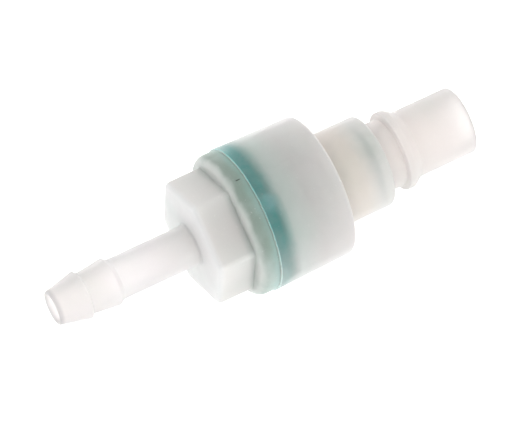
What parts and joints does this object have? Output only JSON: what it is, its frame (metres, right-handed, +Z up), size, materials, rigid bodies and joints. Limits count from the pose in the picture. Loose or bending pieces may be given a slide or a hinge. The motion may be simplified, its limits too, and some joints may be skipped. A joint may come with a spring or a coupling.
{
  "type": "inline check valve",
  "caption": "Small in-line check valve in milky plastic: hose barb with hexagon and flange, round housing with a teal seal, and a beaded plug-in spigot; spring-loaded poppet inside.",
  "frame": {"origin": "on the flow axis, at the middle of the overall length", "axes": "+X along the flow, from the hose barb to the spigot; +Z up; a hexagon flat faces -Y"},
  "size_m": [0.0646, 0.0212, 0.0212],
  "materials": {
    "natural_plastic_inlet": "natural milky translucent, moulded satin",
    "natural_plastic_housing": "natural milky translucent, moulded satin",
    "natural_plastic_nipple": "natural milky translucent, moulded satin",
    "teal_rubber": "smooth moulded rubber",
    "white_plastic": "moulded satin",
    "spring_steel": "drawn stainless wire"
  },
  "bodies": {
    "valve_body": {"inlet_body": "natural_plastic_inlet", "housing": "natural_plastic_housing", "outlet_nipple": "natural_plastic_nipple", "body_seal": "teal_rubber", "nipple_seal": "teal_rubber", "stem_guide": "white_plastic", "spring": "spring_steel"},
    "poppet_group": {"poppet": "white_plastic", "poppet_seal": "teal_rubber"}
  },
  "joints": [
    {"name": "poppet_lift", "type": "slide", "parent": "valve_body", "child": "poppet_group", "axis": [1, 0, 0], "range_m": [0, 0.0025], "stiffness_N_per_m": 350, "springref_m": -0.002, "deforming": ["spring"]}
  ]
}
